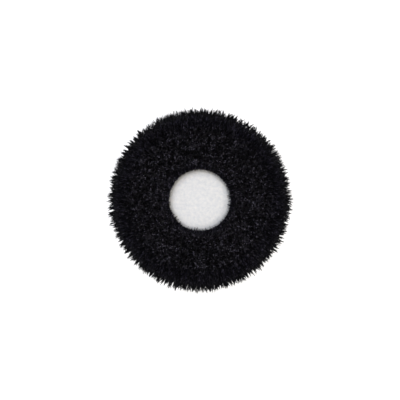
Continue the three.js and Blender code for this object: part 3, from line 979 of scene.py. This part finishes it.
# Brushed nylon loops: charcoal and soft, with a faint shine.
loop_nylon, tree, shader = new_material("brushed_loop_nylon", "#26262B", 0.6, ior=1.53, specular=0.3)
uneven_gloss(tree, shader, 1.0, 0.5, 0.75)
loop_band_line = box_line(LOOP_IN_R + LOOP_REACH, loop_r, loop_low, loop_high)
loop_band = turned_mesh("loop_tape_band", softened(loop_band_line, 0.12, 2))
loop_rng = random.Random(43)
loops = []
for k in range(4):
    wide = loop_rng.uniform(0.22, 0.34)
    tilt = loop_rng.uniform(-0.1, 0.1)
    points = [(-wide * 0.6, 0, -LOOP_REACH), (-wide, tilt, -0.25), (-wide * 0.5, tilt, -0.03),
              (wide * 0.5, tilt, 0.0), (wide, tilt, -0.25), (wide * 0.6, 0, -LOOP_REACH)]
    loops.append(plain_rod(f"loop_{k}", points, (LOOP_THREAD_R,) * 6))
loop_tree = scatter_tree("loop_scatter", [(-1.0, loop_nylon)])
inner_line = [(LOOP_IN_R + 0.05, loop_high - 0.4), (LOOP_IN_R + 0.05, loop_low + 0.4)]
loop_mesh = set_and_apply(
    "loop_tape_loops", turned_mesh("loop_carrier", inner_line, 96, closed=False), loop_tree,
    Locks=family_of("loop_family", loops), Spacing=0.85 * MM, Density=1.8e6, Seed=9, Lean=0.35,
    Short=-0.1 * MM, Long=0.0)
add_piece(loop_band, "jacket", "closure_tape", "loop_tape", tape_weave)
add_piece(loop_mesh, "jacket", "closure_tape", "loop_tape", smooth=False)


# Fur. Long black modacrylic pile, knitted into the ground and sheared to length: upright
# on the front, fanning over the rim and standing straight out of the side.
FUR_TOP = 42.5
FUR_R = 43.7
BARREL = 1.3
RIM_R = 9.0
FOOT_R = 5.0
FOOT_LOW = 1.0
WINDOW_R = 13.9
WINDOW_LIP = 4.0
PILE = 8.0
FLOOR_CLEAR = 0.25
FLATTENED = 0.1  # how much of its dip is left to a fibre that would pass the floor
THIRDS = [(0, 120), (120, 120), (240, 120)]
WHOLE = [(0, 360)]
STRAY_ARCS = [(245, 50), (205, 24), (-18, 36)]


def fibre_black(name, colour, roughness, gloss, sheen):
    """Modacrylic fibre in one of its shades, with a soft sheen along it."""
    mat, tree, shader = new_material(name, colour, roughness, ior=1.52, specular=gloss)
    uneven_gloss(tree, shader, 1.5, roughness - 0.1, roughness + 0.1)
    shader.inputs["Sheen Weight"].default_value = sheen
    shader.inputs["Sheen Roughness"].default_value = 0.5
    return mat


# Solution-dyed modacrylic: a bluish black. Fibres differ a little in depth of colour. The two lightest
# shades are painted highlights, standing for light caught on the cut tips, so that the pile sparkles
# finely instead of shining as a whole.
fur_shades = [
    (-1.0, fibre_black("modacrylic_jet", "#050508", 0.6, 0.1, 0.0)),
    (0.34, fibre_black("modacrylic_black", "#0C0C11", 0.55, 0.14, 0.0)),
    (0.54, fibre_black("modacrylic_soft_black", "#14131C", 0.5, 0.18, 0.02)),
    (0.69, fibre_black("modacrylic_charcoal", "#282633", 0.5, 0.22, 0.04)),
    # Painted highlights: the two lightest shades below stand for light caught on the fibre tips.
    (0.81, fibre_black("modacrylic_bright_tip", "#524F62", 0.45, 0.25, 0.05)),
    (0.89, fibre_black("modacrylic_glint", "#9E9AAE", 0.4, 0.3, 0.05)),
]


def lock_family(name, seed, count, fibres, length, root_spread, tip_spread, thick, stagger, bend, depth,
                cut=0.0, side=1.0):
    """Locks of tapered fibres: tips near the origin, roots at -length on Z, in mm.

    Each lock has a tone of its own, up to depth, and its fibres stay near it.
    """
    rng = random.Random(seed)

    def scattered(spread):
        angle, reach = rng.uniform(0, 2 * math.pi), spread * math.sqrt(rng.random())
        return reach * math.cos(angle), reach * math.sin(angle)

    meshes = []
    for k in range(count):
        verts, faces, tones = [], [], []
        own_tone = depth * (k + 0.5) / count
        for _ in range(fibres):
            rx, ry = scattered(root_spread)
            tx, ty = scattered(tip_spread)
            bx, by = scattered(bend)
            knee = (0.45 * rx + 0.55 * tx + bx, 0.45 * ry + 0.55 * ty + by,
                    -length * rng.uniform(0.26, 0.42))
            tip = (tx, ty, -stagger * rng.random() ** 2)
            width = thick * rng.uniform(0.75, 1.2)
            shade = 0.8 * own_tone + 0.2 * depth * rng.random()
            # Lighter fibres get wider cut ends, so that the painted highlights of the lightest shades show
            # larger.
            end = cut * (0.8 + 0.5 * shade)
            if bend:
                path, widths = [(rx, ry, -length), knee, tip], (width, width * 0.8, end)
            else:
                path, widths = [(rx, ry, -length), tip], (width, end)
            # Painted light: the cut end or point takes the fibre's full shade as a painted highlight,
            # while the sides of the last part take side times it and the lower part 0.6 of it as painted
            # shade down the fibre.
            bent_rod(verts, faces, tones, path, widths, (0.6 * shade, side * shade, shade))
        meshes.append(rod_mesh(f"{name}_{k}", verts, faces, tones))
    return family_of(name, meshes)


fur_tree = scatter_tree("fur_scatter", fur_shades)
# Front and rim locks reach depth 1 and so carry the painted glint shade. The side, guard and edge locks
# stay below it.
face_locks = lock_family("face_lock", 3, 30, fibres=4, length=PILE - 1.5, root_spread=0.26,
                         tip_spread=0.17, thick=0.13, stagger=1.3, bend=0.0, depth=1.0, cut=0.085,
                         side=0.8)
rim_locks = lock_family("rim_lock", 4, 30, fibres=4, length=PILE - 1.5, root_spread=0.28,
                        tip_spread=0.2, thick=0.14, stagger=1.4, bend=0.0, depth=1.0, cut=0.085,
                        side=0.84)
side_locks = lock_family("side_lock", 5, 16, fibres=6, length=PILE, root_spread=0.7,
                         tip_spread=0.2, thick=0.17, stagger=2.6, bend=0.35, depth=0.9)
guard_locks = lock_family("guard_lock", 8, 12, fibres=5, length=PILE + 1.5, root_spread=0.5,
                          tip_spread=0.14, thick=0.2, stagger=1.0, bend=0.4, depth=0.7)
edge_locks = lock_family("edge_lock", 6, 12, fibres=4, length=PILE - 2.8, root_spread=0.25,
                         tip_spread=0.22, thick=0.13, stagger=0.8, bend=0.2, depth=0.8)

lip = arc_points((WINDOW_R + WINDOW_LIP, FUR_TOP - WINDOW_LIP), WINDOW_LIP, 90, 150, 6)
front_line = [(FUR_R - BARREL - RIM_R, FUR_TOP), *lip]
rim_line = arc_points((FUR_R - BARREL - RIM_R, FUR_TOP - RIM_R), RIM_R, 8, 90, 10)
foot_line = arc_points((FUR_R - BARREL - FOOT_R, FOOT_LOW + FOOT_R), FOOT_R, -70, -8, 6)
# The flank starts one step above the foot: a level step there would turn locks downward.
flank_line = list(foot_line)
for k in range(1, 9):
    t = k / 8
    level = foot_line[-1][1] + (rim_line[0][1] - foot_line[-1][1]) * t
    flank_line.append((FUR_R - BARREL * abs(2 * t - 1) ** 2, level))


def grow(name, outline, family, node, arcs, seed, **sizes):
    """Fur over part of the envelope, one piece for each arc of (start, sweep) in degrees."""
    for k, (start, sweep) in enumerate(arcs):
        carrier = turned_mesh("carrier", outline, max(6, sweep // 3), closed=False,
                              start=math.radians(start), sweep=math.radians(sweep))
        mesh = set_and_apply(f"{name}_{k + 1}", carrier, fur_tree, Locks=family, Seed=seed + k,
                             **sizes)
        for vertex in mesh.vertices:
            if vertex.co.z < FLOOR_CLEAR * MM:
                vertex.co.z = FLOOR_CLEAR * MM + FLATTENED * (vertex.co.z - FLOOR_CLEAR * MM)
        add_piece(mesh, "jacket", "black_fur", node, smooth=False)


grow("fur_front", front_line, face_locks, "front_pile", THIRDS, 1, Spacing=0.38 * MM, Density=14.0e6,
     Lean=math.radians(14), Short=-0.7 * MM, Long=0.6 * MM)
grow("fur_rim", rim_line, rim_locks, "front_pile", THIRDS, 11, Spacing=0.42 * MM, Density=12.0e6,
     Lean=math.radians(17), Short=-1.1 * MM, Long=0.7 * MM)
grow("fur_side", flank_line, side_locks, "side_pile", THIRDS, 21, Spacing=0.72 * MM, Density=2.0e6,
     Lean=math.radians(22), Short=-2.2 * MM, Long=0.7 * MM)

# Guard locks: longer and stiffer, sparse, and they make the ragged outline.
grow("fur_guard", [*flank_line[4:], *rim_line[1:3]], guard_locks, "side_pile", WHOLE, 41, Spacing=1.3 * MM,
     Density=1.2e6, Lean=math.radians(24), Short=0.2 * MM, Long=4.8 * MM)

# The cut edge of the window: a close ring of fibres that leans a little over the white.
edge_line = [(WINDOW_R + 1.4, FUR_TOP - 1.3), (WINDOW_R + 0.15, FUR_TOP - 1.9)]
grow("fur_edge", edge_line, edge_locks, "front_pile", WHOLE, 31, Spacing=0.34 * MM, Density=9.0e6,
     Lean=math.radians(10), Short=-0.9 * MM, Long=0.1 * MM)

# A few tufts fall over the white, where the pile was brushed toward the window.
stray_line = [(WINDOW_R + 0.4, FUR_TOP - 2.1), (WINDOW_R - 1.0, FUR_TOP - 3.4)]
grow("fur_stray", stray_line, edge_locks, "front_pile", STRAY_ARCS, 51, Spacing=0.9 * MM,
     Density=1.6e6, Lean=math.radians(16), Short=-0.8 * MM, Long=0.7 * MM)
